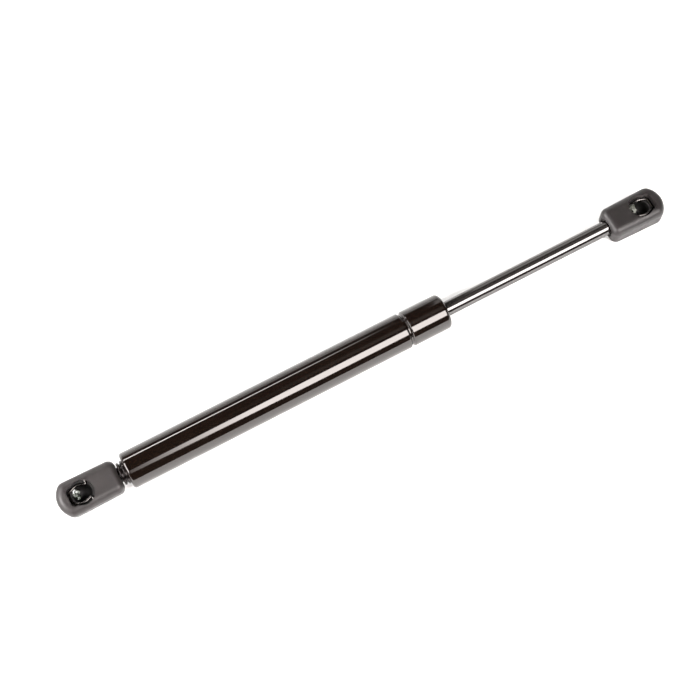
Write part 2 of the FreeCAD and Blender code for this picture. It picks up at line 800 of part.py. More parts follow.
def socket(label, at_rod):
    """Moulded ball socket, drawn with its ball at the origin and its neck towards +X."""
    body = doc.addObject("PartDesign::Body", label)
    body.Label = label
    half_thick = size("socket_thickness") / 2
    neck = size("rod_socket_to_neck") if at_rod else size("socket_to_neck")
    sketch = new_sketch(body, "Side")
    side_profile(sketch, neck)
    block = body.newObject("PartDesign::Pad", "Block")
    block.Profile = sketch
    block.Midplane = True
    block.setExpression("Length", size("socket_thickness").text)
    doc.recompute()
    corners = [
        f"Edge{number}"
        for number, edge in enumerate(block.Shape.Edges, 1)
        if len(edge.Vertexes) == 2
        and abs(edge.Vertexes[0].Z - edge.Vertexes[1].Z) > half_thick.value
        and edge.CenterOfMass.x < 0
    ]
    dressed(body, block, corners, size("socket_corner"))
    base = body.Tip
    long_edges = [
        f"Edge{number}"
        for number, edge in enumerate(base.Shape.Edges, 1)
        if abs(abs(edge.CenterOfMass.z) - half_thick.value) < 1e-3
        and edge.CenterOfMass.x < neck.value - 1e-3
    ]
    dressed(body, base, long_edges, size("socket_edge"))
    base = body.Tip
    neck_edges = [
        f"Edge{number}"
        for number, edge in enumerate(base.Shape.Edges, 1)
        if all(abs(corner.X - neck.value) < 1e-3 for corner in edge.Vertexes)
    ]
    dressed(body, base, neck_edges, size("socket_neck_edge"))

    before = body.Shape.Volume
    sketch = new_sketch(body, "Mouth", lift=half_thick)
    mouth_profile(sketch)
    mouth = body.newObject("PartDesign::Pocket", "MouthCut")
    mouth.Profile = sketch
    mouth.setExpression("Length", (half_thick - size("mouth_floor")).text)
    doc.recompute()
    check_cut(body, before, "Mouth")

    before = body.Shape.Volume
    sketch = new_sketch(body, "Cup", "XZ_Plane")
    cup_profile(sketch)
    cup = body.newObject("PartDesign::Groove", "CupCut")
    cup.Profile = sketch
    cup.ReferenceAxis = (sketch, ["V_Axis"])
    cup.Angle = 360.0
    doc.recompute()
    check_cut(body, before, "Cup")
    cup_radius = size("ball_diameter") / 2 + size("ball_gap")
    names = [
        name
        for name, circle in circles(cup.Shape)
        if abs(circle.Radius - cup_radius.value) < 1e-3
        and abs(circle.Center.z - size("mouth_floor").value) < 1e-3
    ]
    dressed(body, cup, names, size("mouth_edge"))

    hole = size("thread_diameter") / 2 + size("thread_gap")
    bottom = neck - size("thread_reach") - size("thread_pitch") * 0.5
    recess = size("neck_recess_diameter") / 2
    recess_floor = neck - size("neck_recess_depth")
    outside = neck + size("neck_recess_depth")
    turned_cut(
        body,
        [
            (bottom - hole * 0.35, NOTHING),
            (bottom, hole),
            (recess_floor, hole),
            (recess_floor, recess),
            (outside, recess),
            (outside, NOTHING),
        ],
        "Bore",
    )

    before = body.Shape.Volume
    sketch = new_sketch(body, "PinHole", "XZ_Plane")
    wire = size("clip_wire") / 2 + size("clip_gap")
    height = size("mouth_floor") + size("clip_wire") / 2
    reach = size("clip_pivot_reach")
    spot = FreeCAD.Vector(reach.value, height.value, 0)
    sketch.addGeometry(Part.Circle(spot, FreeCAD.Vector(0, 0, 1), wire.value))
    tie(sketch, "DistanceX", 0, 3, reach)
    tie(sketch, "DistanceY", 0, 3, height)
    tie_radius(sketch, 0, wire)
    pins = body.newObject("PartDesign::Pocket", "PinHoles")
    pins.Profile = sketch
    pins.Midplane = True
    pins.setExpression("Length", (size("clip_pin_hole_half") * 2.0).text)
    doc.recompute()
    check_cut(body, before, "PinHole")
    place_socket(body, at_rod)
    return body


def bent(spots, radii):
    """A wire path of straight runs through the spots, with an arc of each radius between them."""
    edges, last = [], spots[0]
    for i in range(1, len(spots) - 1):
        before = (spots[i - 1] - spots[i]).normalize()
        after = (spots[i + 1] - spots[i]).normalize()
        half = before.getAngle(after) / 2
        cut = radii[i - 1] / math.tan(half)
        start, end = spots[i] + before * cut, spots[i] + after * cut
        middle = (before + after).normalize()
        top = spots[i] + middle * (radii[i - 1] / math.sin(half) - radii[i - 1])
        edges.append(Part.LineSegment(last, start).toShape())
        edges.append(Part.Arc(start, top, end).toShape())
        last = end
    edges.append(Part.LineSegment(last, spots[-1]).toShape())
    return Part.Wire(edges)


def clip(label, at_rod):
    """Spring wire that lies across the mouth: a bridge, two bowed arms and two pivot pins."""
    half_wire = size("clip_wire").value / 2
    height = size("mouth_floor").value + half_wire + size("seat_gap").value
    bridge, spread = -size("clip_bridge_reach").value, size("clip_bridge_half").value
    pivot, pin = size("clip_pivot_reach").value, size("clip_pin_half").value
    half = [
        (pivot, pin),
        (pivot, size("clip_heel_half").value),
        (-size("clip_bow_back").value, size("clip_bow_half").value),
        (bridge, spread),
    ]
    mirror = [(x, -y) for x, y in reversed(half)]
    spots = [FreeCAD.Vector(x, y, height) for x, y in half + mirror]
    tight, bow = size("clip_bend").value, size("clip_bow").value
    path = bent(spots, [tight, bow, tight, tight, bow, tight])
    section = Part.Wire(Part.Circle(spots[0], FreeCAD.Vector(0, 1, 0), half_wire).toShape())
    item = doc.addObject("Part::Feature", label)
    item.Label = label
    item.Shape = path.makePipeShell([section], True, True)
    place_socket(item, at_rod)
    return item


pieces = [
    pressure_tube(),
    base_plug(),
    sealing_ring("base_plug_seal", ring_start + plug_groove, groove_floor, bore_radius),
    seal_backing_washer(),
    rod_seal(),
    guide_bush(),
    sealing_ring("guide_seal", guide_groove, groove_floor, bore_radius),
    wiper_ring(),
    end_washer(),
    piston_rod(),
    *piston_stack(),
    piston_ring(),
    socket("tube_socket", False),
    clip("tube_socket_clip", False),
    socket("rod_socket", True),
    clip("rod_socket_clip", True),
]
doc.recompute()

for item in doc.Objects:
    if "Invalid" in item.State or "Error" in item.State:
        raise RuntimeError(f"{item.Label} could not be built: {item.State}")
for item in pieces:
    if item.Shape.isNull() or not item.Shape.isValid() or len(item.Shape.Solids) != 1:
        raise RuntimeError(f"{item.Label} is not one valid solid")

os.makedirs("parts", exist_ok=True)
for item in pieces:
    item.Shape.exportStep(f"parts/{item.Label}.step")
print(f"{len(pieces)} pieces, {rod_ball.value:.1f} mm from ball to ball")
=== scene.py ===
import json
import math

import bpy
import numpy as np
from mathutils import Matrix, Vector


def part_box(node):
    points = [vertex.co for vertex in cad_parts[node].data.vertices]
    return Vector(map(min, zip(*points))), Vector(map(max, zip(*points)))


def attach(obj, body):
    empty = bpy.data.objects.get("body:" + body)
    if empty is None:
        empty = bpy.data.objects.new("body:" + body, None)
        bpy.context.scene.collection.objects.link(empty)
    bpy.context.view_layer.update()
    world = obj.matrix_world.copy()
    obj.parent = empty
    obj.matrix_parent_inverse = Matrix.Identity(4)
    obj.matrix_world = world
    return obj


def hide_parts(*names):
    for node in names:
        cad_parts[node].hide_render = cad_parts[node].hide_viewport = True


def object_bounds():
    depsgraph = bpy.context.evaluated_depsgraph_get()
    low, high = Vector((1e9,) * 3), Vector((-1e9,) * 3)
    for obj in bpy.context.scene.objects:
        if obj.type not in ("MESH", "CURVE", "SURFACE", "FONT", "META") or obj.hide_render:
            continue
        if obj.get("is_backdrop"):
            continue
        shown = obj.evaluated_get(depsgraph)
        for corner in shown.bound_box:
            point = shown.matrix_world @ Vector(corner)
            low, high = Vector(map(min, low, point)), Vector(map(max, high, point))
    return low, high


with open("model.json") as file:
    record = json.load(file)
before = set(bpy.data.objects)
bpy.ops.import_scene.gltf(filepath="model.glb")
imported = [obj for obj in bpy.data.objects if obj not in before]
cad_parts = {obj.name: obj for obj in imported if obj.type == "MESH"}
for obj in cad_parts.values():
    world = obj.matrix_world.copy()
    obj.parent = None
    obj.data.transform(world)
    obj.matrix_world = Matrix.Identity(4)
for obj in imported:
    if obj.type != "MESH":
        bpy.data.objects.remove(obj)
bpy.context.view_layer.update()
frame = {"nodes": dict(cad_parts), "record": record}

mm = 0.001
fullTurn = 2 * math.pi
nearAxis = 0.02  # mm; an outline that reaches the strut's axis stops this far from it


# a surface from a grid of points: each row is a ring of points, and neighbouring rings are joined.
# closedRows joins the last ring to the first. Without it, a point closes the ring at each end
def ringSurface(name, grid, closedRows=False):
    rows, columns = grid.shape[:2]
    points = grid.reshape(-1, 3)
    row = np.arange(rows if closedRows else rows - 1)[:, None]
    column = np.arange(columns)[None, :]
    nextRow, nextColumn = (row + 1) % rows, (column + 1) % columns
    corners = (row * columns + column, row * columns + nextColumn)
    corners += (nextRow * columns + nextColumn, nextRow * columns + column)
    quads = [np.broadcast_to(corner, (len(row), columns)) for corner in corners]
    quads = np.stack(quads, -1).reshape(-1, 4)
    triangles = np.zeros((0, 3), int)
    if not closedRows:
        poles = np.stack([grid[0].mean(0), grid[-1].mean(0)])
        points = np.concatenate([points, poles])
        here, there = np.arange(columns), (np.arange(columns) + 1) % columns
        last = (rows - 1) * columns
        first = np.stack([there, here, np.full(columns, rows * columns)], -1)
        end = np.stack([here + last, there + last, np.full(columns, rows * columns + 1)], -1)
        triangles = np.concatenate([first, end])
    split = np.concatenate([quads[:, [0, 1, 2]], quads[:, [0, 2, 3]], triangles])
    a, b, c = (points[split[:, i]] for i in range(3))
    if np.einsum("ij,ij->i", a, np.cross(b, c)).sum() < 0:  # faces point outwards
        quads, triangles = quads[:, ::-1], triangles[:, ::-1]
    mesh = bpy.data.meshes.new(name)
    mesh.from_pydata(points.tolist(), [], quads.tolist() + triangles.tolist())
    mesh.polygons.foreach_set("use_smooth", np.ones(len(mesh.polygons), bool))
    mesh.update()
    piece = bpy.data.objects.new(name, mesh)
    bpy.context.scene.collection.objects.link(piece)
    return piece


# corners are (along, radius, rounding) in millimetres. Each corner becomes an arc that touches both
# of its straight runs, and one more point, guard away from each end of the arc, keeps them straight
def roundedRun(corners, closed=False, steps=10, guard=0.06):
    largestShare = 0.48  # of a straight run, that one arc may take
    nearlyStraight = 0.01  # radians
    spots = np.array(corners, float)
    count = len(spots)
    made = []
    for i in range(count):
        here, radius = spots[i, :2], spots[i, 2]
        if not closed and i in (0, count - 1):
            made.append(here[None])
            continue
        before, after = spots[i - 1, :2] - here, spots[(i + 1) % count, :2] - here
        room = min(np.linalg.norm(before), np.linalg.norm(after)) * largestShare
        before, after = before / np.linalg.norm(before), after / np.linalg.norm(after)
        half = math.acos(np.clip(before @ after, -1, 1)) / 2
        if radius == 0 or half > math.pi / 2 - nearlyStraight:
            made.append(here[None])
            continue
        cut = min(radius / math.tan(half), room)
        radius = cut * math.tan(half)
        middle = (before + after) / np.linalg.norm(before + after)
        centre = here + middle * radius / math.sin(half)
        start, end = here + before * cut - centre, here + after * cut - centre
        sweep = math.atan2(start[0] * end[1] - start[1] * end[0], start @ end)
        turn = np.linspace(0, sweep, steps + 1)
        along = start[0] * np.cos(turn) - start[1] * np.sin(turn)
        radial = start[0] * np.sin(turn) + start[1] * np.cos(turn)
        outside = min(guard, room - cut) if room > cut else 0
        if outside > 0:
            made.append((here + before * (cut + outside))[None])
        made.append(np.stack([along, radial], -1) + centre)
        if outside > 0:
            made.append((here + after * (cut + outside))[None])
    return np.concatenate(made)


def anglesRound(columns):
    return np.linspace(0, fullTurn, columns, endpoint=False)[None, :]


# places along and radii turned about the strut: y = r cos a, z = r sin a
def turnedGrid(along, radius, angle):
    return np.stack([along + 0 * angle, radius * np.cos(angle), radius * np.sin(angle)], -1) * mm


# cuts a right-hand thread into turned rings: the depth is a flattened zigzag of
# (along / pitch - angle / one turn), and it fades in and out over thread["fade"] at both ends
def threadedGrid(run, thread, columns):
    ringsPerPitch = 22
    steepness, crestFlat = 1.35, 0.2
    low, high, pitch, fade = (thread[key] for key in ("from", "to", "pitch", "fade"))
    shank = np.arange(low, high, pitch / ringsPerPitch)
    shank = np.stack([shank, np.full(len(shank), thread["crest"])], -1)
    line = np.concatenate([run[run[:, 0] < low], shank, run[run[:, 0] > high]])
    along, angle = line[:, 0, None], anglesRound(columns)
    wave = np.abs(((along / pitch - angle / fullTurn) % 1.0) * 2 - 1)
    shown = np.clip((along - low) / fade, 0, 1) * np.clip((high - along) / fade, 0, 1)
    cut = thread["depth"] * np.clip(wave * steepness - crestFlat, 0, 1) * shown
    return turnedGrid(along, line[:, 1, None] - cut, angle)


def newFinish(name, values):
    finish = bpy.data.materials.new(name)
    finish.use_nodes = True
    shader = finish.node_tree.nodes["Principled BSDF"]
    for socket, value in values.items():
        shader.inputs[socket].default_value = value
    return finish, shader


# X, Y and Z of the Object coordinates, or of another vector
def splitVector(finish, vector=None):
    nodes, links = finish.node_tree.nodes, finish.node_tree.links
    parts = nodes.new("ShaderNodeSeparateXYZ")
    vector = vector or nodes.new("ShaderNodeTexCoord").outputs["Object"]
    links.new(vector, parts.inputs["Vector"])
    return parts.outputs


# noise on Object coordinates; stretch is how many times finer it is along X, Y and Z
def addNoise(finish, scale, detail=3.0, stretch=(1, 1, 1), roughness=0.5):
    nodes, links = finish.node_tree.nodes, finish.node_tree.links
    place = nodes.new("ShaderNodeTexCoord")
    mapping = nodes.new("ShaderNodeMapping")
    mapping.inputs["Scale"].default_value = stretch
    noise = nodes.new("ShaderNodeTexNoise")
    noise.inputs["Scale"].default_value = scale
    noise.inputs["Detail"].default_value = detail
    noise.inputs["Roughness"].default_value = roughness
    links.new(place.outputs["Object"], mapping.inputs["Vector"])
    links.new(mapping.outputs["Vector"], noise.inputs["Vector"])
    return noise.outputs["Fac"]


def mapRange(finish, value, low, high, fromLow=0.3, fromHigh=0.7, ramp="LINEAR"):
    node = finish.node_tree.nodes.new("ShaderNodeMapRange")
    node.interpolation_type = ramp
    node.inputs["From Min"].default_value = fromLow
    node.inputs["From Max"].default_value = fromHigh
    node.inputs["To Min"].default_value = low
    node.inputs["To Max"].default_value = high
    finish.node_tree.links.new(value, node.inputs["Value"])
    return node.outputs["Result"]


def combine(finish, operation, one, other):
    node = finish.node_tree.nodes.new("ShaderNodeMath")
    node.operation = operation
    finish.node_tree.links.new(one, node.inputs[0])
    finish.node_tree.links.new(other, node.inputs[1])
    return node.outputs["Value"]


# one where factor is 0 and other where it is 1. Each is a value or another node's output
def blend(finish, factor, one, other, kind="RGBA"):
    nodes, links = finish.node_tree.nodes, finish.node_tree.links
    mix = nodes.new("ShaderNodeMix")
    mix.data_type = kind
    links.new(factor, mix.inputs["Factor"])
    for name, value in (("A", one), ("B", other)):
        if isinstance(value, bpy.types.NodeSocket):
            links.new(value, mix.inputs[name])
        else:
            mix.inputs[name].default_value = (*value, 1) if kind == "RGBA" else value
    return mix.outputs["Result"]


# layers are (height, strength, distance in metres), each bump resting on the one before
def addBump(finish, shader, layers):
    nodes, links = finish.node_tree.nodes, finish.node_tree.links
    below = None
    for height, strength, distance in layers:
        bump = nodes.new("ShaderNodeBump")
        bump.inputs["Strength"].default_value = strength
        bump.inputs["Distance"].default_value = distance
        links.new(height, bump.inputs["Height"])
        if below is not None:
            links.new(below, bump.inputs["Normal"])
        below = bump.outputs["Normal"]
    links.new(below, shader.inputs["Normal"])


def connect(finish, shader, colour, roughness):
    links = finish.node_tree.links
    links.new(colour, shader.inputs["Base Color"])
    links.new(roughness, shader.inputs["Roughness"])


paint = {
    "tint": (1.0, 0.945, 0.92, 1),
    "gloss": 0.5,
    "dark": (0.0029, 0.0014, 0.0008),
    "dusty": (0.0044, 0.0024, 0.0015),
    "roughness": (0.05, 0.12),
}


def glossyPaint():
    finish, shader = newFinish(
        "glossyBlackPaint", {"Specular IOR Level": paint["gloss"], "Specular Tint": paint["tint"]}
    )
    drawn = addNoise(finish, scale=320, detail=3, stretch=(0.04, 1, 1))
    peel = addNoise(finish, scale=700, detail=2)
    dust = addNoise(finish, scale=150, detail=6, roughness=0.65)
    dusty = mapRange(finish, dust, 0, 1, fromLow=0.45, fromHigh=0.75)
    colour = blend(finish, dusty, paint["dark"], paint["dusty"])
    roughness = mapRange(finish, dust, *paint["roughness"], fromLow=0.35, fromHigh=0.7)
    connect(finish, shader, colour, roughness)
    addBump(finish, shader, [(drawn, 0.12, 0.02 * mm), (peel, 0.05, 0.01 * mm)])
    return finish


rodSteel = {
    "tint": (1.0, 0.96, 0.94, 1),
    "gloss": 0.85,
    "dark": (0.0065, 0.0055, 0.0048),
    "light": (0.0090, 0.0078, 0.0070),
    "roughness": (0.03, 0.08),
}


def polishedRod():
    finish, shader = newFinish(
        "darkNitridedRod",
        {"Specular IOR Level": rodSteel["gloss"], "Specular Tint": rodSteel["tint"]},
    )
    ground = addNoise(finish, scale=300, detail=2, stretch=(14, 0.6, 0.6))
    stain = addNoise(finish, scale=60, detail=4)
    colour = blend(finish, mapRange(finish, stain, 0, 1), rodSteel["dark"], rodSteel["light"])
    roughness = mapRange(finish, ground, *rodSteel["roughness"], fromLow=0.35, fromHigh=0.65)
    connect(finish, shader, colour, roughness)
    addBump(finish, shader, [(ground, 0.04, 0.006 * mm)])
    return finish


# where the sockets are: the ball's centre, the way the mouth faces, and which way along X the neck
# points. In a socket's own frame the origin is the ball's centre and the mouth faces +Z
mountAt = {m["name"]: (Vector(m["pos_m"]), Vector(m["axis"])) for m in frame["record"]["mounts"]}
neckTowards = {"tube_ball_socket": 1, "rod_ball_socket": -1}


# X, Y and Z in a socket's own frame, from Object coordinates
def socketFrame(finish, mount):
    nodes, links = finish.node_tree.nodes, finish.node_tree.links
    centre, axis = mountAt[mount]
    place = nodes.new("ShaderNodeTexCoord")
    local = nodes.new("ShaderNodeMapping")
    local.vector_type = "TEXTURE"
    local.inputs["Location"].default_value = centre
    local.inputs["Rotation"].default_value = (math.atan2(-axis[1], axis[2]), 0, 0)
    local.inputs["Scale"].default_value = (neckTowards[mount], 1, 1)
    links.new(place.outputs["Object"], local.inputs["Vector"])
    return splitVector(finish, local.outputs["Vector"])


# boxes are in millimetres in a socket's own frame
moulding = {
    "tint": (1.0, 0.96, 0.955, 1),
    "roughness": (0.36, 0.56),
    "hollowBox": [("X", -7.35, 6.4), ("Y", -6.4, 6.4), ("Z", -6.0, 3.75)],
    # painted shade together with old grease: the ball's cup is drawn near-black
    "hollowGreaseAndShadeColour": (0.0022, 0.0019, 0.0016),
    "hollowRoughness": 0.55,
    # painted light: the mouth's wall on its +Y side is drawn a lighter grey, where it is lit
    "litWallBox": [("X", -7.2, 6.4), ("Y", 4.0, 6.4), ("Z", 3.95, 6.6)],
    "litWallColour": (0.045, 0.040, 0.039),
    "soft": 0.12,
}


# 1 inside the box and 0 outside it, with a soft step at each side
def boxMask(finish, parts, box):
    inside = None
    for axis, low, high in box:
        for edge, soft in ((low, moulding["soft"]), (high, -moulding["soft"])):
            wall = mapRange(finish, parts[axis], 0, 1, (edge - soft) * mm, (edge + soft) * mm)
            inside = wall if inside is None else combine(finish, "MULTIPLY", inside, wall)
    return inside


# the ball's cup is painted near-black, for old grease and painted shade. The mouth's wall on its +Y
# side is painted lighter grey, as painted light
def mouldedPlastic(name, mount, dark, light, gloss):
    finish, shader = newFinish(
        name, {"Specular IOR Level": gloss, "Specular Tint": moulding["tint"]}
    )
    grain = addNoise(finish, scale=2600, detail=3)
    flow = addNoise(finish, scale=160, detail=4, stretch=(0.5, 1, 1))
    scuff = addNoise(finish, scale=420, detail=5, stretch=(1, 0.4, 1), roughness=0.7)
    parts = socketFrame(finish, mount)
    hollow = boxMask(finish, parts, moulding["hollowBox"])
    litWall = boxMask(finish, parts, moulding["litWallBox"])
    bare = blend(finish, mapRange(finish, flow, 0, 1, fromLow=0.35, fromHigh=0.65), dark, light)
    walled = blend(finish, litWall, bare, moulding["litWallColour"])
    colour = blend(finish, hollow, walled, moulding["hollowGreaseAndShadeColour"])
    scuffed = mapRange(finish, scuff, *moulding["roughness"], fromLow=0.35, fromHigh=0.7)
    roughness = blend(finish, hollow, scuffed, moulding["hollowRoughness"], "FLOAT")
    connect(finish, shader, colour, roughness)
    addBump(finish, shader, [(flow, 0.25, 0.1 * mm), (grain, 0.30, 0.03 * mm)])
    return finish


wire = {
    "dark": (0.060, 0.055, 0.052),
    "light": (0.110, 0.102, 0.098),
    # painted shade: the clip's bridge is drawn near-black between fullShadeAt and noShadeAt
    "bridgeShade": (0.008, 0.007, 0.006),
    "roughness": (0.16, 0.32),
    "fullShadeAt": -5.4,
    "noShadeAt": -3.6,
}


# the clip's bridge, at the tip's end of the mouth, is painted near-black as painted shade
def springWire(name, mount):
    finish, shader = newFinish(name, {"Metallic": 1.0})
    drawn = addNoise(finish, scale=900, detail=3, stretch=(0.3, 1, 1))
    bare = blend(finish, mapRange(finish, drawn, 0, 1), wire["dark"], wire["light"])
    along = socketFrame(finish, mount)["X"]
    bridge = mapRange(finish, along, 1, 0, wire["fullShadeAt"] * mm, wire["noShadeAt"] * mm)
    colour = blend(finish, bridge, bare, wire["bridgeShade"])
    connect(finish, shader, colour, mapRange(finish, drawn, *wire["roughness"]))
    addBump(finish, shader, [(drawn, 0.15, 0.02 * mm)])
    return finish


# roughness varies by roughnessSpread to either side
def turnedMetal(name, dark, light, roughness, metallic=1.0):
    roughnessSpread = 0.08
    finish, shader = newFinish(name, {"Metallic": metallic})
    rings = addNoise(finish, scale=500, detail=2, stretch=(8, 1, 1))
    spots = addNoise(finish, scale=260, detail=5)
    colour = blend(finish, mapRange(finish, spots, 0, 1), dark, light)
    rough = mapRange(finish, rings, roughness - roughnessSpread, roughness + roughnessSpread)
    connect(finish, shader, colour, rough)
    addBump(finish, shader, [(rings, 0.15, 0.03 * mm)])
    return finish


def wetGrease(name, dark, light, roughness, coat):
    finish, shader = newFinish(
        name, {"Roughness": roughness, "Coat Weight": coat, "Coat Roughness": 0.05}
    )
    clumps = addNoise(finish, scale=1100, detail=3)
    clumped = mapRange(finish, clumps, 0, 1, fromLow=0.4, fromHigh=0.6)
    colour = blend(finish, clumped, dark, light)
    finish.node_tree.links.new(colour, shader.inputs["Base Color"])
    addBump(finish, shader, [(clumps, 0.5, 0.3 * mm)])
    return finish


# dark colour, light colour, roughness and how metallic it is
turnedFinishes = {
    "stud_steel": ("darkStudSteel", (0.009, 0.0065, 0.006), (0.017, 0.013, 0.012), 0.16, 0.7),
    "plain_steel": ("plainSteel", (0.45, 0.45, 0.46), (0.60, 0.60, 0.61), 0.30, 1.0),
    "seal_rubber": ("sealRubber", (0.012, 0.012, 0.012), (0.024, 0.023, 0.022), 0.62, 0.0),
    "guide_plastic": ("guidePlastic", (0.55, 0.53, 0.47), (0.66, 0.64, 0.58), 0.48, 0.0),
    "piston_metal": ("pistonAluminium", (0.62, 0.62, 0.64), (0.75, 0.75, 0.77), 0.34, 1.0),
    "ring_plastic": ("ringPlastic", (0.22, 0.19, 0.15), (0.32, 0.28, 0.22), 0.46, 0.0),
}
# dark colour, light colour and how strongly it reflects
plastics = {
    "tube_socket": ((0.0138, 0.0115, 0.0113), (0.0187, 0.0160, 0.0156), 0.32),
    # painted shade: the rod's socket is the same moulding as the tube's, drawn darker
    "rod_socket": ((0.0080, 0.0066, 0.0064), (0.0110, 0.0092, 0.0090), 0.40),
}
finishes = {
    "tube_paint": glossyPaint(),
    "rod_steel": polishedRod(),
    "socket_plastic": mouldedPlastic(
        "tubeSocketPlastic", "tube_ball_socket", *plastics["tube_socket"]
    ),
    "spring_wire": springWire("tubeClipWire", "tube_ball_socket"),
}
for slot, values in turnedFinishes.items():
    finishes[slot] = turnedMetal(*values)
# the rod's socket and clip share their slots with the tube's, but each has its own grease, painted
# shade and painted light; the rod's socket is also painted darker, as painted shade
ownFinishes = {
    "rod_socket": mouldedPlastic("rodSocketPlasticPaintedShade", "rod_ball_socket", *plastics["rod_socket"]),
    "rod_socket_clip": springWire("rodClipWire", "rod_ball_socket"),
}
slots = {part["node"]: part["material_slot"] for part in frame["record"]["subparts"]}
for node, piece in frame["nodes"].items():
    piece.data.materials.clear()
    piece.data.materials.append(ownFinishes.get(node, finishes[slots[node]]))
print("finishes ready")


# the piece stands for that node, moves with that body and takes the node's finish
def fit(piece, node, body):
    piece.data.materials.append(finishes[slots[node]])
    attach(piece, body)
    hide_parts(node)


def spanOf(node):
    low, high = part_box(node)
    return low[0] / mm, high[0] / mm


# a drawn tube, rolled in at both ends, with a rolled bead near the rod's end
tube = {
    "outer": 9.5,
    "wall": 1.0,
    "baseRounding": 1.9,
    "baseOpening": 6.2,
    "frontRounding": 3.0,
    "frontOpening": 5.2,
    "beadFromEnd": 22.7,
    "beadDepth": 1.0,
    "beadHalf": 1.25,
    "beadFloor": 0.25,  # of beadHalf, as are the next two, on the inside of the wall
    "beadInside": 1.4,
    "beadInsideFloor": 0.5,
    "columns": 256,
}


def pressureTube():
    start, end = spanOf("pressure_tube")
    outer, wall = tube["outer"], tube["wall"]
    bore, bead = outer - wall, end - tube["beadFromEnd"]
    half, depth = tube["beadHalf"], tube["beadDepth"]
    floor, inside, insideFloor = tube["beadFloor"], tube["beadInside"], tube["beadInsideFloor"]
    run = roundedRun(
        [
            (start, tube["baseOpening"], 0.25),
            (start, outer, tube["baseRounding"]),
            (bead - half, outer, 0.55),
            (bead - half * floor, outer - depth, 0.40),
            (bead + half * floor, outer - depth, 0.40),
            (bead + half, outer, 0.55),
            (end, outer, tube["frontRounding"]),
            (end, tube["frontOpening"], 0.35),
            (end - wall, tube["frontOpening"], 0.2),
            (end - wall, bore, tube["frontRounding"] - wall),
            (bead + half * inside, bore, 0.5),
            (bead + half * insideFloor, bore - depth, 0.4),
            (bead - half * insideFloor, bore - depth, 0.4),
            (bead - half * inside, bore, 0.5),
            (start + wall, bore, 0.5),
            (start + wall, tube["baseOpening"], 0.2),
        ],
        closed=True,
        steps=12,
    )
    grid = turnedGrid(run[:, 0, None], run[:, 1, None], anglesRound(tube["columns"]))
    fit(ringSurface("pressureTube", grid, closedRows=True), "pressure_tube", "cylinder")


pressureTube()
print("pressure tube ready")


# a grooved boss between the tube and its socket, with a threaded stud
plug = {
    "studRadius": 4.0,
    "threadPitch": 1.25,
    "threadDepth": 0.62,
    "threadFromTip": 0.1,
    "threadFromBoss": 0.2,
    "bossRing": 5.9,
    "bossRingWidth": 1.1,
    "bossNeck": 5.0,
    "bossNeckWidth": 0.9,
    "neckSlope": 0.2,
    "collar": 6.15,
    "collarWidth": 1.1,
    "insideRadius": 8.45,
    "insideLength": 9.0,
    "grooveFloor": 6.98,
    "grooveHalf": 1.05,
    "dishDepth": 2.7,
    "columns": 128,
}


def basePlug():
    start, end = spanOf("base_plug")
    tubeStart = spanOf("pressure_tube")[0]
    collarStart = tubeStart - plug["collarWidth"]
    neckStart = collarStart - plug["bossNeckWidth"]
    ringStart = neckStart - plug["bossRingWidth"]
    inside = end - plug["insideLength"]
    groove = (inside + end) / 2
    stud, ring, collar = plug["studRadius"], plug["bossRing"], plug["collar"]
    run = roundedRun(
        [
            (start, nearAxis, 0),
            (start, stud - plug["threadDepth"], 0.2),
            (start + plug["threadDepth"], stud, 0.2),
            (ringStart, stud, 0.15),
            (ringStart, ring, 0.3),
            (neckStart, ring, 0.3),
            (neckStart + plug["neckSlope"], plug["bossNeck"], 0.2),
            (collarStart - plug["neckSlope"], plug["bossNeck"], 0.2),
            (collarStart, collar, 0.3),
            (inside, collar, 0.05),
            (inside, plug["insideRadius"], 0.6),
            (groove - plug["grooveHalf"], plug["insideRadius"], 0.1),
            (groove - plug["grooveHalf"], plug["grooveFloor"], 0.1),
            (groove + plug["grooveHalf"], plug["grooveFloor"], 0.1),
            (groove + plug["grooveHalf"], plug["insideRadius"], 0.1),
            (end, plug["insideRadius"], 0.3),
            (end, plug["insideRadius"] - plug["dishDepth"], 0.1),
            (end - plug["dishDepth"], nearAxis, 0),
        ],
        steps=6,
    )
    thread = {
        "from": start + plug["threadDepth"] + plug["threadFromTip"],
        "to": ringStart - plug["threadFromBoss"],
        "crest": stud,
        "depth": plug["threadDepth"],
        "pitch": plug["threadPitch"],
        "fade": plug["threadPitch"] / 3,
    }
    grid = threadedGrid(run, thread, plug["columns"])
    fit(ringSurface("basePlug", grid), "base_plug", "cylinder")


basePlug()
print("base plug ready")


# ground and polished, riveted inside the tube, threaded in its socket
rod = {
    "radius": 4.0,
    "rivetRadius": 4.2,
    "rivetWidth": 1.8,
    "spigotRadius": 2.8,
    "threadReach": 10.6,
    "threadPitch": 1.25,
    "threadDepth": 0.62,
    "threadFade": 0.4,
    "relief": (0.45, 0.9),  # its floor, from the thread's start
    "firstTurn": 1.5,
    "columns": 192,
}


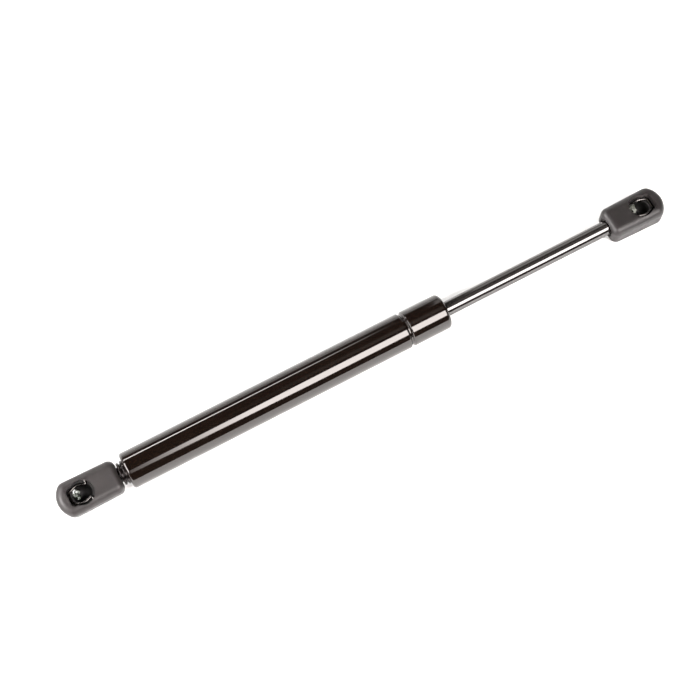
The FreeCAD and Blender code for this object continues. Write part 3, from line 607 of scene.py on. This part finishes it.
def pistonRod():
    start, end = spanOf("piston_rod")
    shoulder = spanOf("piston_stop_washer")[1]
    threadStart = end - rod["threadReach"]
    firstTurn, lastTurn = threadStart + rod["firstTurn"], end - rod["threadDepth"]
    radius, root = rod["radius"], rod["radius"] - rod["threadDepth"]
    run = roundedRun(
        [
            (start, nearAxis, 0),
            (start, rod["rivetRadius"], 1.2),
            (start + rod["rivetWidth"], rod["rivetRadius"], 0.1),
            (start + rod["rivetWidth"], rod["spigotRadius"], 0.1),
            (shoulder, rod["spigotRadius"], 0.1),
            (shoulder, radius, 0.3),
            (threadStart, radius, 0.2),
            (threadStart + rod["relief"][0], root, 0.1),
            (threadStart + rod["relief"][1], root, 0.1),
            (firstTurn, radius, 0.1),
            (lastTurn, radius, 0.1),
            (end, root, 0.1),
            (end, nearAxis, 0),
        ],
        steps=6,
    )
    thread = {
        "from": firstTurn,
        "to": lastTurn,
        "crest": radius,
        "depth": rod["threadDepth"],
        "pitch": rod["threadPitch"],
        "fade": rod["threadFade"],
    }
    grid = threadedGrid(run, thread, rod["columns"])
    fit(ringSurface("pistonRod", grid), "piston_rod", "rod")


pistonRod()
print("piston rod ready")


# what is left of the grease in the two sockets. A lump's middle and radii are in millimetres, in a
# socket's own frame, and its tilt in degrees is about X
greaseLumps = {
    "tubeSocketGrease": {
        "mount": "tube_ball_socket",
        "body": "cylinder",
        "middle": (-4.0, 2.2, -2.2),
        "radii": (2.9, 2.2, 0.9),
        "tilt": 33,
        "finish": wetGrease(
            "clearGrease",
            dark=(0.035, 0.039, 0.033),
            light=(0.26, 0.28, 0.25),
            roughness=0.12,
            coat=0.6,
        ),
    },
    "tubeSocketGreaseFilm": {
        "mount": "tube_ball_socket",
        "body": "cylinder",
        "middle": (-3.2, -0.6, -3.6),
        "radii": (1.5, 1.3, 0.6),
        "tilt": 0,
        "finish": wetGrease(
            "thinGrease",
            dark=(0.016, 0.020, 0.014),
            light=(0.10, 0.13, 0.09),
            roughness=0.12,
            coat=0.6,
        ),
    },
    "rodSocketGrease": {
        "mount": "rod_ball_socket",
        "body": "rod",
        "middle": (3.5, -1.7, 3.9),
        "radii": (1.7, 2.5, 1.4),
        "tilt": 0,
        "finish": wetGrease(
            "thickGrease",
            dark=(0.050, 0.052, 0.042),
            light=(0.105, 0.108, 0.090),
            roughness=0.50,
            coat=0.0,
        ),
    },
}


# a lump: each point of a ball, at angle a round it and b down it, is pushed out by
# 1 + sin b (0.12 sin(3 a + 2 b) + 0.08 sin(5 a - 3 b)), then stretched to the lump's radii
def greaseLump(name, lump):
    columns, rows, poleGap = 72, 44, 0.02
    centre, axis = mountAt[lump["mount"]]
    axis = np.array(axis)
    forward = np.array([neckTowards[lump["mount"]], 0.0, 0.0])
    side = np.cross(axis, forward)
    turn = anglesRound(columns)
    down = np.linspace(poleGap, math.pi - poleGap, rows)[:, None]
    ripple = 0.12 * np.sin(3 * turn + 2 * down) + 0.08 * np.sin(5 * turn - 3 * down)
    size = 1 + ripple * np.sin(down)
    x = lump["radii"][0] * size * np.sin(down) * np.cos(turn)
    y = lump["radii"][1] * size * np.sin(down) * np.sin(turn)
    z = lump["radii"][2] * size * np.cos(down)
    tilt = math.radians(lump["tilt"])
    y, z = y * math.cos(tilt) - z * math.sin(tilt), y * math.sin(tilt) + z * math.cos(tilt)
    middle = lump["middle"]
    grid = (x + middle[0])[..., None] * forward
    grid = grid + (y + middle[1])[..., None] * side + (z + middle[2])[..., None] * axis
    piece = ringSurface(name, grid * mm + np.array(centre))
    piece.data.materials.append(lump["finish"])
    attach(piece, lump["body"])


for name, lump in greaseLumps.items():
    greaseLump(name, lump)
print("grease ready")


# lengths are in metres, angles in degrees and the lens in millimetres
studio = {
    "floorHalf": 4.0,
    "floorDark": (0.63, 0.62, 0.61),
    "floorLight": (0.65, 0.64, 0.63),
    "glowInFront": 2.3,
    "glowBehind": 0.1,
    "glowStep": (-0.034, -0.010),
    "farGlow": (0.4, 0.9),
    "surround": (0.088, 0.086, 0.085),
    "white": (1, 1, 1),
    "aim": (0.1512, 0.0, 0.0),
    "azimuth": -28.5,
    "elevation": 68.9,
    "distance": 0.735,
    "lens": 74.6,
    "shiftAcross": -0.00231,
    "shiftUp": 0.00287,
    "clip": (0.01, 30),
}


# a flat strip: the first half of the corners runs along one edge, the rest back along the other
def flatPiece(name, corners, finish):
    mesh = bpy.data.meshes.new(name)
    last = len(corners) - 1
    mesh.from_pydata(corners, [], [(i, i + 1, last - i - 1, last - i) for i in range(last // 2)])
    piece = bpy.data.objects.new(name, mesh)
    bpy.context.scene.collection.objects.link(piece)
    piece.data.materials.append(finish)
    piece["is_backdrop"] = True


# the floor is pale paper, also lit from below: in front of the strut more than behind it, and
# more again as the distance from the strut grows through farGlow
def paleFloor():
    finish, shader = newFinish(
        "paleFloor",
        {"Roughness": 0.75, "Specular IOR Level": 0.2, "Emission Color": (1, 1, 1, 1)},
    )
    nodes, links = finish.node_tree.nodes, finish.node_tree.links
    paper = mapRange(finish, addNoise(finish, scale=40, detail=4), 0, 1)
    colour = blend(finish, paper, studio["floorDark"], studio["floorLight"])
    links.new(colour, shader.inputs["Base Color"])
    place = nodes.new("ShaderNodeTexCoord")
    away = nodes.new("ShaderNodeVectorMath")
    away.operation = "DISTANCE"
    away.inputs[1].default_value = studio["aim"]
    links.new(place.outputs["Object"], away.inputs[0])
    far = mapRange(finish, away.outputs["Value"], 0, 1, *studio["farGlow"])
    levels = studio["glowInFront"], studio["glowBehind"]
    near = mapRange(finish, splitVector(finish)["Y"], *levels, *studio["glowStep"])
    links.new(combine(finish, "ADD", near, far), shader.inputs["Emission Strength"])
    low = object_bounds()[0][2]
    half = studio["floorHalf"]
    flatPiece(
        "floor",
        [(-half, -half, low), (half, -half, low), (half, half, low), (-half, half, low)],
        finish,
    )


# a place in the plane across the strut at x, fromUp degrees from straight up towards -Y
def around(x, fromUp, distance):
    angle = math.radians(fromUp)
    return (x, -distance * math.sin(angle), distance * math.cos(angle))


# plain rectangles of light, each facing its target. Brightness is a quarter of the watts on a
# square metre
lightCards = {
    "backCard": {
        "place": (0.2, 1.6, 0.20),
        "target": (0.2, 0, 0.20),
        "size": (4.0, 0.38),
        "brightness": 1.6,
    },
    "leftCard": {
        "place": (-0.72, 0.07, 0.56),
        "target": (0, 0, 0),
        "size": (0.62, 0.95),
        "brightness": 15.0,
    },
    "rodCard": {
        "place": around(0.76, -54, 1.1),
        "target": (0.76, 0, 0),
        "size": (0.48, 0.55),
        "brightness": 1.4,
    },
}


def lightCard(name, values):
    data = bpy.data.lights.new(name, "AREA")
    data.shape = "RECTANGLE"
    width, height = values["size"]
    data.size, data.size_y = width, height
    data.energy = values["brightness"] * 4 * width * height
    card = bpy.data.objects.new(name, data)
    bpy.context.scene.collection.objects.link(card)
    back = (Vector(values["place"]) - Vector(values["target"])).normalized()
    up = back.cross(Vector((1, 0, 0))).normalized()
    across = up.cross(back).normalized()
    card.matrix_world = Matrix((across, up, back)).transposed().to_4x4()
    card.location = values["place"]


# long lights beside the strut. A station is a place along X and the angles of the light's two edges
# there. The brightness is levels[0] at fade[0] and levels[1] at fade[1], and the ramp says how it
# goes from one to the other
fadingCards = {
    "frontBox": {
        "stations": [
            (-0.09, 23.5, 38.0),
            (-0.005, 23.2, 43.0),
            (0.122, 23.6, 49.5),
            (0.249, 21.7, 55.5),
            (0.78, 21.7, 55.5),
        ],
        "distance": 1.04,
        "colour": (1, 0.975, 0.965),
        "ramp": "SMOOTHSTEP",
        "fade": (-0.083, 0.176),
        "levels": (0.6, 20.5),
    },
    "backStrip": {
        "stations": [(-0.6, -50.0, -55.0), (0.44, -50.0, -55.0)],
        "distance": 1.1,
        "colour": (1, 1, 1),
        "ramp": "LINEAR",
        "fade": (0.05, 0.40),
        "levels": (25.0, 0.0),
    },
    "overheadGlow": {
        "stations": [(0.0, -9.0, 8.0), (0.9, -9.0, 8.0)],
        "distance": 1.3,
        "colour": (1, 0.97, 0.94),
        "ramp": "LINEAR",
        "fade": (0.1, 0.42),
        "levels": (0.1, 0.5),
    },
}


def fadingCard(name, card):
    finish = bpy.data.materials.new(name)
    finish.use_nodes = True
    nodes, links = finish.node_tree.nodes, finish.node_tree.links
    nodes.clear()
    output = nodes.new("ShaderNodeOutputMaterial")
    glow = nodes.new("ShaderNodeEmission")
    glow.inputs["Color"].default_value = (*card["colour"], 1)
    along = splitVector(finish)["X"]
    level = mapRange(finish, along, *card["levels"], *card["fade"], card["ramp"])
    links.new(level, glow.inputs["Strength"])
    links.new(glow.outputs["Emission"], output.inputs["Surface"])
    edges = [(x, near) for x, near, far in card["stations"]]
    edges += [(x, far) for x, near, far in reversed(card["stations"])]
    flatPiece(name, [around(x, angle, card["distance"]) for x, angle in edges], finish)


# the backdrop looks white, but lights the strut only faintly
def studioWorld():
    world = bpy.data.worlds.new("studio")
    world.use_nodes = True
    nodes, links = world.node_tree.nodes, world.node_tree.links
    seen = nodes.new("ShaderNodeLightPath").outputs["Is Camera Ray"]
    colour = blend(world, seen, studio["surround"], studio["white"])
    links.new(colour, nodes["Background"].inputs["Color"])
    bpy.context.scene.world = world


def mainCamera():
    azimuth, elevation = math.radians(studio["azimuth"]), math.radians(studio["elevation"])
    level, height = math.cos(elevation), math.sin(elevation)
    back = Vector((math.sin(azimuth) * level, -math.cos(azimuth) * level, height))
    across = Vector((math.cos(azimuth), math.sin(azimuth), 0))
    up = back.cross(across)
    aim = Vector(studio["aim"]) + across * studio["shiftAcross"] + up * studio["shiftUp"]
    data = bpy.data.cameras.new("camera")
    data.lens = studio["lens"]
    data.clip_start, data.clip_end = studio["clip"]
    camera = bpy.data.objects.new("camera", data)
    camera.location = aim + back * studio["distance"]
    camera.rotation_mode = "QUATERNION"
    camera.rotation_quaternion = (-back).to_track_quat("-Z", "Y")
    bpy.context.scene.collection.objects.link(camera)
    bpy.context.scene.camera = camera
    bpy.context.scene.view_settings.view_transform = "Standard"


paleFloor()
studioWorld()
for name, card in fadingCards.items():
    fadingCard(name, card)
for name, values in lightCards.items():
    lightCard(name, values)
mainCamera()
print("studio ready")
